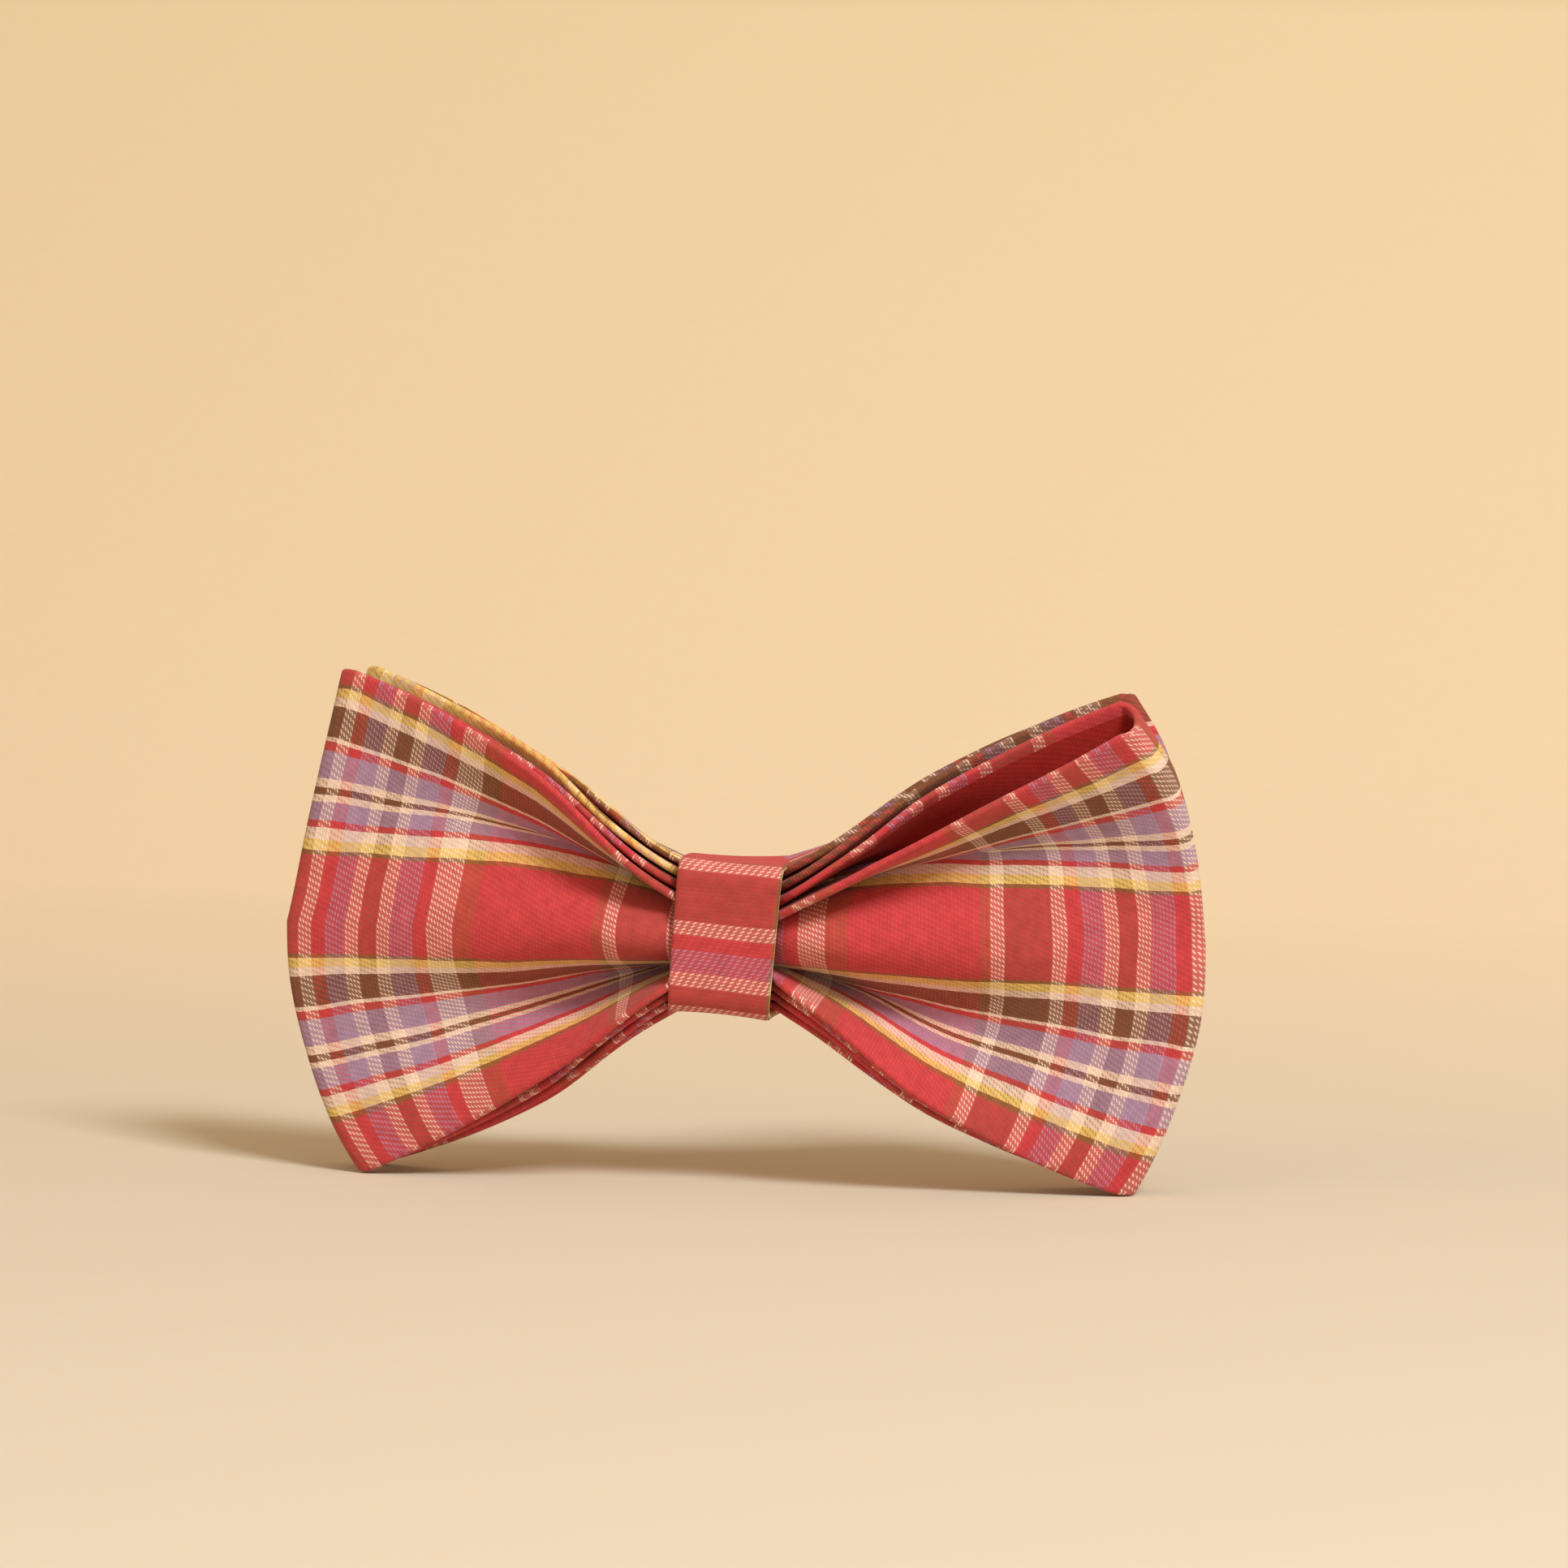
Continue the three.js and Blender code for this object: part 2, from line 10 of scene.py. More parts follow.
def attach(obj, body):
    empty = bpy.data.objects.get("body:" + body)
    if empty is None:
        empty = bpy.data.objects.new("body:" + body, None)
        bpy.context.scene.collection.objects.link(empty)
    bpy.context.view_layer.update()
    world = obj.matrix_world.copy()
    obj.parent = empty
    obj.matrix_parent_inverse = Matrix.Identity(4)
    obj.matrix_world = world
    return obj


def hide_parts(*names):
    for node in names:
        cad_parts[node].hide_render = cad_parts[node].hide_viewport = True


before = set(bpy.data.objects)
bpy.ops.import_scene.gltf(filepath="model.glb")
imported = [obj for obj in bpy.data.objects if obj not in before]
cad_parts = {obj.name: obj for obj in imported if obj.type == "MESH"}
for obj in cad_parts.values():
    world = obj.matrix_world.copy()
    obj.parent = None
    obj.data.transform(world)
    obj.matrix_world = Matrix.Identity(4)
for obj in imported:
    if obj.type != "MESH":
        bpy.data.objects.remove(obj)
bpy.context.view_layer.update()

MM = 0.001

# ---- where things are, in millimetres, in the frame --------------------------------------

CENTRE_Z = 33.2
NEST_Y = -3.26
BAND_HALF = 6.8
WAIST_HALF = 5.8

# ---- the cloth ---------------------------------------------------------------------------

STRIP_HALF = 33.0
HALF_THICKNESS = 0.5
FABRIC_WIDTH = 4 * STRIP_HALF

# The waist section of the foremost panel: share of the strip's half height, then y and z.
WAIST_SECTION = (
    (-1.00, -4.6, -5.2),
    (-0.88, -2.4, -4.8),
    (-0.74, 0.8, -4.3),
    (-0.54, 2.2, -4.0),
    (-0.34, 1.6, -3.7),
    (-0.23, -0.6, -3.4),
    (-0.12, -3.4, -2.4),
    (0.00, -4.5, 0.0),
    (0.12, -3.4, 2.5),
    (0.23, -0.6, 3.5),
    (0.36, 1.6, 3.9),
    (0.58, 2.2, 4.1),
    (0.78, 0.8, 4.4),
    (0.90, -2.2, 4.6),
    (1.00, -4.6, 4.6),
)
WAIST_SAMPLES = 401
WAIST_BLUR_Y = 9
WAIST_BLUR_Z = 7

# How the four nested panels part at the waist: from one to the next, a little more at the ridge,
# and the front one's valleys pressed deeper. Shares of the strip's half height say where.
LAST_LAYER = 3
LAYER_STEP_Y = 1.36
RIDGE_EXTRA_Y = 0.2
RIDGE_WIDTH = 0.2
VALLEY_EXTRA_Y = 1.1
VALLEY_SHARE = 0.52
VALLEY_WIDTH = 0.16

# How the layers' edges fan out beside the band, on the right and on the left: a shift of all
# the upper edges and the step from layer to layer, then the same for the lower edges.
EDGE_FAN = {1: (-1.9, 1.8, 0.3, -1.4), -1: (0.0, 1.5, 0.0, -1.2)}
SHIFT_FROM, SHIFT_OVER = 0.72, 0.28
STEP_FROM, STEP_OVER = 0.30, 0.5

# The lowest corners are pressed up a little by the floor they stand on.
LOW_LIFT = 0.5
LOW_LIFT_POWER = 3

# How the waist's pleats die out along the wing, after swelling a little beside the band.
PLEAT_FADE = 1.05
PLEAT_SWELL = 0.85
PLEAT_PEAK = 0.2

# How the corners' lean and drop grow towards the edges, and how much of the fold's slant in depth
# shortens its reach sideways.
TOP_LEAN_POWER = 1.8
LOW_LEAN_POWER = 1.6
DROP_POWER = 1.5
SLANT_SHARE = 0.35

# How early the edges climb, and where and how widely the middle ridge's two edges are lifted.
RISE_START = 0.45
RISE_POWER = 0.5
RIDGE_EDGE = 0.40
RIDGE_EDGE_WIDTH = 0.22
RIDGE_PEAK_POWER = 0.65

# How a panel sweeps back to its fold, and how it swells, less towards the lower edge.
SWEEP_EVENNESS = 0.55
SWELL_PEAK_POWER = 0.85
SWELL_POWER = 1.2
LOW_SWELL = 0.75
LOW_SWELL_SHARE = -0.3

# How finely the cloth is drawn: along a panel, across a face, round an edge, round a fold and
# behind the band, where each bow's two ends stop just short of each other.
PANEL_STEPS = 64
FACE_STEPS = 76
EDGE_STEPS = 4
FOLD_STEPS = 10
WAIST_STEPS = 6
BACK_JOIN_GAP = 0.05

# The slow unevenness of the faces: how many waves, their lengths' spread, their usual length and
# height, and where it fades in along the wing.
RIPPLE_WAVES = 7
RIPPLE_SPREAD = (0.7, 1.6)
RIPPLE_SIZE = 22.0
RIPPLE_HEIGHT = 0.22
RIPPLE_FROM_X = 9.0
RIPPLE_FADE_X = 12.0


def smooth(t):
    t = np.clip(t, 0.0, 1.0)
    return t * t * (3.0 - 2.0 * t)


def blur(values, width):
    """values averaged along the first axis by a bell of the given width in samples."""
    reach = int(3 * width)
    offsets = np.arange(-reach, reach + 1)
    bell = np.exp(-0.5 * (offsets / width) ** 2)
    bell /= bell.sum()
    padded = np.pad(values, reach, mode="reflect", reflect_type="odd")
    return np.convolve(padded, bell, mode="valid")


def waist_section(layer, side, shares):
    """y and z beside the band of one of the four nested panels, 0 being the front one."""
    table = np.array(WAIST_SECTION)
    fine = np.linspace(-1.0, 1.0, WAIST_SAMPLES)
    y = blur(np.interp(fine, table[:, 0], table[:, 1]), WAIST_BLUR_Y)
    z = blur(np.interp(fine, table[:, 0], table[:, 2]), WAIST_BLUR_Z)
    y = np.interp(shares, fine, y)
    z = np.interp(shares, fine, z)
    ridge = np.exp(-((shares / RIDGE_WIDTH) ** 2))
    valley = np.exp(-(((np.abs(shares) - VALLEY_SHARE) / VALLEY_WIDTH) ** 2))
    pressed = (1 - layer / LAST_LAYER) * VALLEY_EXTRA_Y * valley
    y = y + layer * (LAYER_STEP_Y + RIDGE_EXTRA_Y * ridge) + pressed
    top_shift, top_step, low_shift, low_step = EDGE_FAN[side]
    for height, shift, step in ((shares, top_shift, top_step), (-shares, low_shift, low_step)):
        z = z + shift * smooth((height - SHIFT_FROM) / SHIFT_OVER)
        z = z + layer * step * smooth((height - STEP_FROM) / STEP_OVER)
    return y, z


# One wing of one bow. fold_x and fold_y are where its outer fold stands. lean is how far the front
# panel's top, the back panel's top and the bottoms lean back, or forward if below zero; drop is
# how far the two tops fall short of the cloth's full height; rise is how much of their climb from
# the waist the two tops, then the two bottoms, make early.
# pull brings the top and bottom corners in and hollow straightens the upper fold. radius is the
# fold's, low and high; swell pushes the front and the back panel apart; ridge lifts the middle
# ridge's upper and lower edges.
WINGS = {
    ("front", 1): dict(
        fold_x=60.0, fold_y=0.6, lean=(-11.0, -4.6, -0.5), drop=(5.2, 1.6), pull=(2.2, 1.2), hollow=0.6,
        radius=(0.9, 2.2), swell=(1.9, 0.5), rise=(-0.04, 0.34, 0.48, 0.55), ridge=(3.8, 0.0),
    ),
    ("front", -1): dict(
        fold_x=59.6, fold_y=0.8, lean=(0.0, 0.0, -2.0), drop=(-0.3, -0.3), pull=(-0.5, 2.7), hollow=2.0,
        radius=(0.7, 0.8), swell=(0.9, 0.5), rise=(0.47, 0.45, 0.28, 0.40), ridge=(2.8, 1.0),
    ),
    ("back", 1): dict(
        fold_x=58.5, fold_y=7.0, lean=(-2.2, -2.2, 0.5), drop=(0.9, 0.9), pull=(1.4, 1.6), hollow=0.6,
        radius=(0.7, 0.8), swell=(0.4, 0.6), rise=(0.45, 0.45, 0.58, 0.60), ridge=(0.8, 0.0),
    ),
    ("back", -1): dict(
        fold_x=58.0, fold_y=6.6, lean=(-1.0, -1.0, 0.5), drop=(-0.6, -0.6), pull=(1.0, 2.0), hollow=2.0,
        radius=(0.7, 0.7), swell=(0.4, 0.6), rise=(0.42, 0.42, 0.50, 0.55), ridge=(0.8, 0.0),
    ),
}


def fold_line(wing, is_front, shares, waist_y, waist_z):
    """x, y, z where a panel meets its fold, which each line of the cloth reaches by its length."""
    upper = np.clip(shares, 0.0, 1.0)
    lower = np.clip(-shares, 0.0, 1.0)
    top = 0 if is_front else 1
    y = wing["fold_y"] + wing["lean"][top] * upper**TOP_LEAN_POWER + wing["lean"][2] * lower**LOW_LEAN_POWER
    z = STRIP_HALF * shares - wing["drop"][top] * upper**DROP_POWER + LOW_LIFT * lower**LOW_LIFT_POWER
    pull_top, pull_low = wing["pull"]
    length = wing["fold_x"] - WAIST_HALF - pull_top * upper**2 - pull_low * lower**2
    length = length - wing["hollow"] * 4.0 * upper * (1.0 - upper)
    rise = z - waist_z
    depth = SLANT_SHARE * (y - np.mean(y))
    x = WAIST_HALF + np.sqrt(length**2 - rise**2 - depth**2)
    return x, y, z


def edge_rise(u, shares, wing, is_front):
    """How far the cloth has climbed from waist to fold, for each place along the wing."""
    face = 0 if is_front else 1
    top, low = wing["rise"][face], wing["rise"][2 + face]
    bend = np.where(shares > 0, top, low)[None, :] * np.abs(shares)[None, :] ** RISE_POWER
    u = u[:, None]
    return u + bend * u * (1.0 - u) * smooth(u / RISE_START)


def pleat_depth(u):
    """How deep the waist's pleats still are along the wing: they swell out beside the band."""
    return (1.0 - u) ** PLEAT_FADE * (1.0 + PLEAT_SWELL * u / PLEAT_PEAK * np.exp(1.0 - u / PLEAT_PEAK))


def panel(bow, side, is_front, shares):
    """The middle surface of one panel, an array of places from waist to fold in millimetres, and
    the radius of the fold it meets."""
    wing = WINGS[bow, side]
    layer = {"front": 0, "back": 2}[bow] + (0 if is_front else 1)
    waist_y, waist_z = waist_section(layer, side, shares)
    fold_x, fold_y, fold_z = fold_line(wing, is_front, shares, waist_y, waist_z)
    u = np.linspace(0.0, 1.0, PANEL_STEPS + 1)
    climb = edge_rise(u, shares, wing, is_front)
    low_radius, top_radius = wing["radius"]
    radius = low_radius + (top_radius - low_radius) * smooth(shares)
    away = -1.0 if is_front else 1.0
    x = WAIST_HALF + (fold_x - WAIST_HALF)[None, :] * u[:, None]
    z = waist_z[None, :] + (fold_z - waist_z)[None, :] * climb
    for spread, edge in zip(wing["ridge"], (RIDGE_EDGE, -RIDGE_EDGE)):
        near_edge = np.exp(-(((shares - edge) / RIDGE_EDGE_WIDTH) ** 2))
        z = z + spread * np.sin(np.pi * u**RIDGE_PEAK_POWER)[:, None] * near_edge[None, :]
    middle = waist_y.mean()
    pleat = (waist_y - middle)[None, :] * pleat_depth(u)[:, None]
    target = fold_y + away * radius
    sweep = (SWEEP_EVENNESS * u + (1.0 - SWEEP_EVENNESS) * u * u)[:, None]
    y = NEST_Y + middle + pleat + (target - NEST_Y - middle)[None, :] * sweep
    front_swell, back_swell = wing["swell"]
    swell = front_swell if is_front else back_swell
    puff = np.sin(np.pi * u**SWELL_PEAK_POWER) ** SWELL_POWER
    across = LOW_SWELL + (1.0 - LOW_SWELL) * smooth(shares - LOW_SWELL_SHARE)
    y = y + away * swell * puff[:, None] * across[None, :]
    return np.stack([side * x, y, CENTRE_Z + z], axis=-1), radius


def outer_fold(side, front_end, back_end, radius):
    """The turn between a wing's front and back panels, from front to back."""
    angles = np.linspace(-math.pi / 2, math.pi / 2, FOLD_STEPS + 1)[1:-1]
    share = (0.5 + 0.5 * np.sin(angles))[:, None, None]
    turn = front_end + (back_end - front_end) * share
    turn[..., 0] += side * np.cos(angles)[:, None] * radius[None, :]
    return turn


def bow_middle(bow, shares):
    """The middle surface of a whole bow as rows along the strip, and how far along each place is:
    measured on the middle line, and round the outer folds on each line of its own."""
    panels = {(side, face): panel(bow, side, face, shares) for side in (1, -1) for face in (True, False)}
    centre = {face: 0.5 * (panels[1, face][0][0] + panels[-1, face][0][0]) for face in (True, False)}
    spans = np.linspace(0.0, 1.0, WAIST_STEPS + 1)[:-1, None, None]
    rows = []
    along = []
    for side in (1, -1):
        front, radius = panels[side, True]
        back, _ = panels[side, False]
        turn = outer_fold(side, front[-1], back[-1], radius)
        waist_front = centre[True] + (front[0] - centre[True]) * spans
        waist_back = centre[False] + (back[0] - centre[False]) * np.maximum(spans, BACK_JOIN_GAP)
        half = np.concatenate([waist_front, front, turn, back[::-1], waist_back[::-1]])
        steps = np.linalg.norm(np.diff(half, axis=0), axis=-1)
        fold_start = WAIST_STEPS + PANEL_STEPS
        past_front = np.arange(len(steps)) - fold_start
        in_fold = (past_front >= 0) & (past_front < FOLD_STEPS)
        steps = np.where(in_fold[:, None], steps, steps[:, [len(shares) // 2]])
        reach = np.concatenate([np.zeros((1, len(shares))), np.cumsum(steps, axis=0)])
        rows.append(half)
        along.append(side * reach)
    grid = np.concatenate([rows[0][::-1], rows[1][1:]])
    distance = np.concatenate([along[0][::-1], along[1][1:]])
    return grid, distance


def surface_normals(grid):
    along = np.gradient(grid, axis=0)
    across = np.gradient(grid, axis=1)
    normal = np.cross(across, along)
    return normal / np.linalg.norm(normal, axis=-1, keepdims=True)


def ripple(grid, seed, size, height):
    """Gentle unevenness of hand-made cloth: a sum of a few slow waves through space."""
    random = np.random.default_rng(seed)
    total = np.zeros(grid.shape[:2])
    for _ in range(RIPPLE_WAVES):
        direction = random.normal(size=3)
        direction /= np.linalg.norm(direction)
        wave = 2 * math.pi / (size * random.uniform(*RIPPLE_SPREAD))
        total += np.sin(grid @ direction * wave + random.uniform(0, 2 * math.pi))
    return height * total / math.sqrt(RIPPLE_WAVES)


def folded_tube(grid, distance, shares, half_thickness):
    """Rings round a flattened tube of cloth with rounded edges, and the cloth coordinates of their
    points in millimetres: along the strip, and round the ring from the upper edge. A ring starts
    at the middle of the inner face."""
    normal = surface_normals(grid)
    middle = grid.shape[1] // 2
    top = grid.shape[1] - 1
    outer = grid + half_thickness * normal
    inner = grid - half_thickness * normal
    position = STRIP_HALF * (1.0 - shares)
    angles = np.linspace(0, math.pi, EDGE_STEPS + 2)[1:-1]
    turn = half_thickness * math.pi / 2

    def rounded_edge(row, neighbour, order):
        out = grid[:, row] - grid[:, neighbour]
        out /= np.linalg.norm(out, axis=-1, keepdims=True)
        arc = [
            grid[:, row] + half_thickness * (math.sin(angle) * out - math.cos(angle) * normal[:, row])
            for angle in angles[::order]
        ]
        return np.stack(arc, axis=1)

    def edge_places(row):
        centre = position[row] if row == top else 2 * STRIP_HALF
        return centre + np.linspace(-turn / 2, turn / 2, EDGE_STEPS + 2)[1:-1]

    columns = [
        *range(middle, top + 1),
        *[top] * EDGE_STEPS,
        *range(top, -1, -1),
        *[0] * EDGE_STEPS,
        *range(middle),
    ]
    rings = np.concatenate([
        inner[:, middle:],
        rounded_edge(top, top - 1, 1),
        outer[:, ::-1],
        rounded_edge(0, 1, -1),
        inner[:, :middle],
    ], axis=1)
    around = np.concatenate([
        -position[middle:],
        edge_places(top),
        position[::-1],
        edge_places(0),
        4 * STRIP_HALF - position[:middle],
    ])
    return rings, distance[:, columns], around


def closed_mesh(name, rings, along, around, wrap):
    """A closed mesh through rings, with the cloth coordinates in the UV map "cloth"."""
    count, size = rings.shape[:2]
    points = (rings.reshape(-1, 3) * MM).tolist()
    faces = []
    coordinates = []
    for i in range(count - 1):
        for j in range(size):
            k = (j + 1) % size
            near, far = i * size, (i + 1) * size
            faces.append((near + j, far + j, far + k, near + k))
            here = around[j]
            there = around[k] if k else around[0] + wrap
            coordinates += [
                (along[i, j], here),
                (along[i + 1, j], here),
                (along[i + 1, k], there),
                (along[i, k], there),
            ]
    # The first and the last ring are each closed by one face.
    for i, turned in ((0, False), (count - 1, True)):
        ring = [i * size + j for j in range(size)]
        faces.append(tuple(ring[::-1] if turned else ring))
        coordinates += [(along[i, j], around[j]) for j in (range(size)[::-1] if turned else range(size))]
    mesh = bpy.data.meshes.new(name)
    mesh.from_pydata(points, [], faces)
    layer = mesh.uv_layers.new(name="cloth")
    flat = np.array(coordinates, dtype=np.float32).ravel()
    layer.data.foreach_set("uv", flat)
    mesh.update()
    mesh.shade_smooth()
    piece = bpy.data.objects.new(name, mesh)
    bpy.context.scene.collection.objects.link(piece)
    return piece


def face_outwards(piece):
    """Turns the faces round if the mesh's volume comes out negative."""
    mesh = piece.data
    mesh.calc_loop_triangles()
    points = np.empty(len(mesh.vertices) * 3)
    mesh.vertices.foreach_get("co", points)
    points = points.reshape(-1, 3)
    corners = np.empty(len(mesh.loop_triangles) * 3, dtype=np.int32)
    mesh.loop_triangles.foreach_get("vertices", corners)
    a, b, c = (points[corners.reshape(-1, 3)[:, k]] for k in range(3))
    if np.einsum("ij,ij->i", a, np.cross(b, c)).sum() < 0:
        mesh.flip_normals()


# ---- nodes -------------------------------------------------------------------------------


class Nodes:
    """A short way to write node trees."""

    def __init__(self, name):
        self.material = bpy.data.materials.new(name)
        self.material.use_nodes = True
        self.tree = self.material.node_tree
        self.shader = self.tree.nodes["Principled BSDF"]

    def add(self, kind, **settings):
        node = self.tree.nodes.new(kind)
        for key, value in settings.items():
            setattr(node, key, value)
        return node

    def put(self, socket, value):
        if isinstance(value, bpy.types.NodeSocket):
            self.tree.links.new(value, socket)
        else:
            socket.default_value = value

    def math(self, operation, a, b=None, c=None, clamp=False):
        node = self.add("ShaderNodeMath", operation=operation, use_clamp=clamp)
        for socket, value in zip(node.inputs, (a, b, c)):
            if value is not None:
                self.put(socket, value)
        return node.outputs[0]

    def mix(self, factor, a, b, blend="MIX"):
        node = self.add("ShaderNodeMix", data_type="RGBA", blend_type=blend)
        self.put(node.inputs["Factor"], factor)
        self.put(node.inputs["A"], a)
        self.put(node.inputs["B"], b)
        return node.outputs["Result"]

    def noise(self, vector, scale, detail=2.0):
        node = self.add("ShaderNodeTexNoise", noise_dimensions="3D")
        self.put(node.inputs["Vector"], vector)
        self.put(node.inputs["Scale"], scale)
        self.put(node.inputs["Detail"], detail)
        return node.outputs["Fac"]

    def add_bump(self, height, strength, depth):
        """Relief of a depth in millimetres."""
        bump = self.add("ShaderNodeBump")
        bump.inputs["Strength"].default_value = strength
        bump.inputs["Distance"].default_value = depth * MM
        self.put(bump.inputs["Height"], height)
        self.put(self.shader.inputs["Normal"], bump.outputs[0])

    def stripes(self, value, sett):
        """A colour for each place in a repeat. sett lists stripes as (colour, end)."""
        repeat = sett[-1][1]
        node = self.add("ShaderNodeValToRGB")
        ramp = node.color_ramp
        ramp.interpolation = "CONSTANT"
        start = 0.0
        for index, (colour, end) in enumerate(sett):
            stop = ramp.elements[0] if index == 0 else ramp.elements.new(start / repeat)
            stop.position = start / repeat
            stop.color = (*YARNS[colour], 1.0)
            start = end
        while len(ramp.elements) > len(sett):
            ramp.elements.remove(ramp.elements[-1])
        self.put(node.inputs[0], self.math("FRACT", self.math("DIVIDE", value, repeat)))
        return node.outputs[0]


def linear(red, green, blue):
    """A colour in linear light from display values of 0 to 255."""
    values = (c / 255 for c in (red, green, blue))
    return tuple(c / 12.92 if c <= 0.04045 else ((c + 0.055) / 1.055) ** 2.4 for c in values)


YARNS = {
    "red": linear(202, 66, 71),
    "white": linear(242, 216, 198),
    "brown": linear(126, 78, 54),
    "lavender": linear(172, 140, 172),
    "yellow": linear(240, 208, 120),
    "olive": linear(150, 96, 52),
}

YARN_PITCH = 0.485
TWILL_RISE = 0.78
TWILL_STEP = 0.28
PICK = TWILL_RISE / 4

# A dash, where a warp yarn lies over the weft: its half length and half width as shares of the
# twill's rise and of the yarns' pitch, its slant, and where its edge starts and ends its fade.
DASH_HALF_LENGTH = 0.31
DASH_HALF_WIDTH = 0.22
DASH_SLANT = 0.85
DASH_ROUNDNESS = 3.0
DASH_FADE = (1.7, 0.4)

# How much of the warp's colour shows where it lies over the weft, and where it lies under.
WARP_ON_TOP = 0.70
WARP_BENEATH = 0.14

# How unevenly single yarns and whole patches are dyed, and how dark the shade painted between the dashes
# is.
YARN_CONTRAST = 0.5
YARN_SCATTER = (0.37, 0.11)
PATCH_CONTRAST = 0.24
PATCH_SCALE = 0.22
PAINTED_GAP_SHADE_BASE = 0.72
PAINTED_GAP_SHADE_GAIN = 0.35
PAINTED_GAP_SHADE_FLOOR = 0.35

# How far the stripes wander from straight, in millimetres, and how slowly.
WANDER = 1.2
WANDER_SCALE = 0.08

# Whole yarns and repeats added so that every place on the cloth counts up from above zero.
YARNS_BEFORE = 535
REPEATS_BEFORE = 10

# The weave's relief in millimetres and its strength, and the weft's and the fuzz's share in it.
WEAVE_DEPTH = 0.09
WEAVE_STRENGTH = 0.55
WEFT_BULGE = 0.35
FUZZ = 0.25
FUZZ_SCALE = 9.0

# The warp across the cloth, counted in yarns.
WARP_COUNTS = (
    ("red", 35), ("olive", 3), ("white", 4), ("brown", 13), ("white", 4), ("red", 4),
    ("lavender", 6), ("white", 4), ("brown", 5), ("white", 4), ("lavender", 7), ("red", 4),
    ("white", 8), ("olive", 6),
)
WARP_START = 16.6

# The weft down the cloth, as widths in millimetres, from the end of the wide red stripe.
WEFT_WIDTHS = (
    ("olive", 0.5), ("yellow", 1.2), ("white", 1.1), ("brown", 4.2), ("white", 0.6), ("red", 1.1),
    ("lavender", 3.5), ("white", 1.3), ("brown", 1.0), ("white", 0.8), ("lavender", 2.7),
    ("red", 1.0), ("white", 1.5), ("yellow", 1.3), ("olive", 0.7), ("red", 13.3),
)
WEFT_REPEAT = sum(width for _, width in WEFT_WIDTHS)
WEFT_START = 2.4


def running(widths, scale=1.0):
    """Each stripe's colour and where the stripe ends, in millimetres."""
    ends = np.cumsum([width * scale for _, width in widths])
    return [(colour, float(end)) for (colour, _), end in zip(widths, ends)]


# The plain cloth inside the loops, and how far the plaid turns in over it at the edges.
LINING = linear(172, 36, 30)
LINING_HEM = 1.2


def dash_mask(n, row_place, column_place):
    """1 where a warp yarn lies over the weft, a rounded slanting oblong, and 0 elsewhere."""
    slanted = n.math("SUBTRACT", column_place, n.math("MULTIPLY", row_place, DASH_SLANT))
    lengthways = n.math("ABSOLUTE", n.math("DIVIDE", row_place, DASH_HALF_LENGTH))
    sideways = n.math("ABSOLUTE", n.math("DIVIDE", slanted, DASH_HALF_WIDTH))
    fade = n.add("ShaderNodeMapRange", interpolation_type="SMOOTHSTEP")
    n.put(fade.inputs["Value"], n.math(
        "ADD", n.math("POWER", lengthways, DASH_ROUNDNESS), n.math("POWER", sideways, DASH_ROUNDNESS)
    ))
    n.put(fade.inputs["From Min"], DASH_FADE[0])
    n.put(fade.inputs["From Max"], DASH_FADE[1])
    return fade.outputs["Result"]


def dye_and_painted_gap_shade(n, cloth, column_index, pick_index, dash):
    """A grey that multiplies the dye: uneven yarns, slow patches, and shade painted into the gaps between
    dashes.
    """
    spots = n.add("ShaderNodeCombineXYZ")
    n.put(spots.inputs[0], n.math("MULTIPLY", column_index, YARN_SCATTER[0]))
    n.put(spots.inputs[1], n.math("MULTIPLY", pick_index, YARN_SCATTER[1]))
    yarn = n.noise(spots.outputs[0], 1.0, 2.0)
    uneven = n.math("MULTIPLY_ADD", yarn, YARN_CONTRAST, 1.0 - YARN_CONTRAST / 2)
    patch = n.noise(cloth, PATCH_SCALE, 3.0)
    patches = n.math("MULTIPLY_ADD", patch, PATCH_CONTRAST, 1.0 - PATCH_CONTRAST / 2)
    # Painted shade: the gaps between the raised dashes are darkened.
    painted_gap_shade = n.math("MULTIPLY_ADD", n.math("MAXIMUM", dash, PAINTED_GAP_SHADE_FLOOR), PAINTED_GAP_SHADE_GAIN, PAINTED_GAP_SHADE_BASE)
    total = n.math("MULTIPLY", n.math("MULTIPLY", uneven, patches), painted_gap_shade)
    grey = n.add("ShaderNodeCombineColor")
    for socket in grey.inputs[:3]:
        n.put(socket, total)
    return grey.outputs[0]


def add_weave_relief(n, cloth, dash, column_place, pick):
    """Raised dashes, the weft's fine ridges between them, and a little fuzz."""
    from_ridge = n.math("ABSOLUTE", n.math("SUBTRACT", n.math("FRACT", pick), 0.5))
    weft = n.math("MULTIPLY", n.math("SUBTRACT", 0.5, from_ridge), WEFT_BULGE)
    from_crown = n.math("POWER", n.math("ABSOLUTE", column_place), 2.0)
    warp = n.math("MULTIPLY", dash, n.math("SUBTRACT", 1.0, from_crown))
    fuzz = n.math("MULTIPLY", n.noise(cloth, FUZZ_SCALE, 2.0), FUZZ)
    n.add_bump(n.math("ADD", n.math("MAXIMUM", warp, weft), fuzz), WEAVE_STRENGTH, WEAVE_DEPTH)


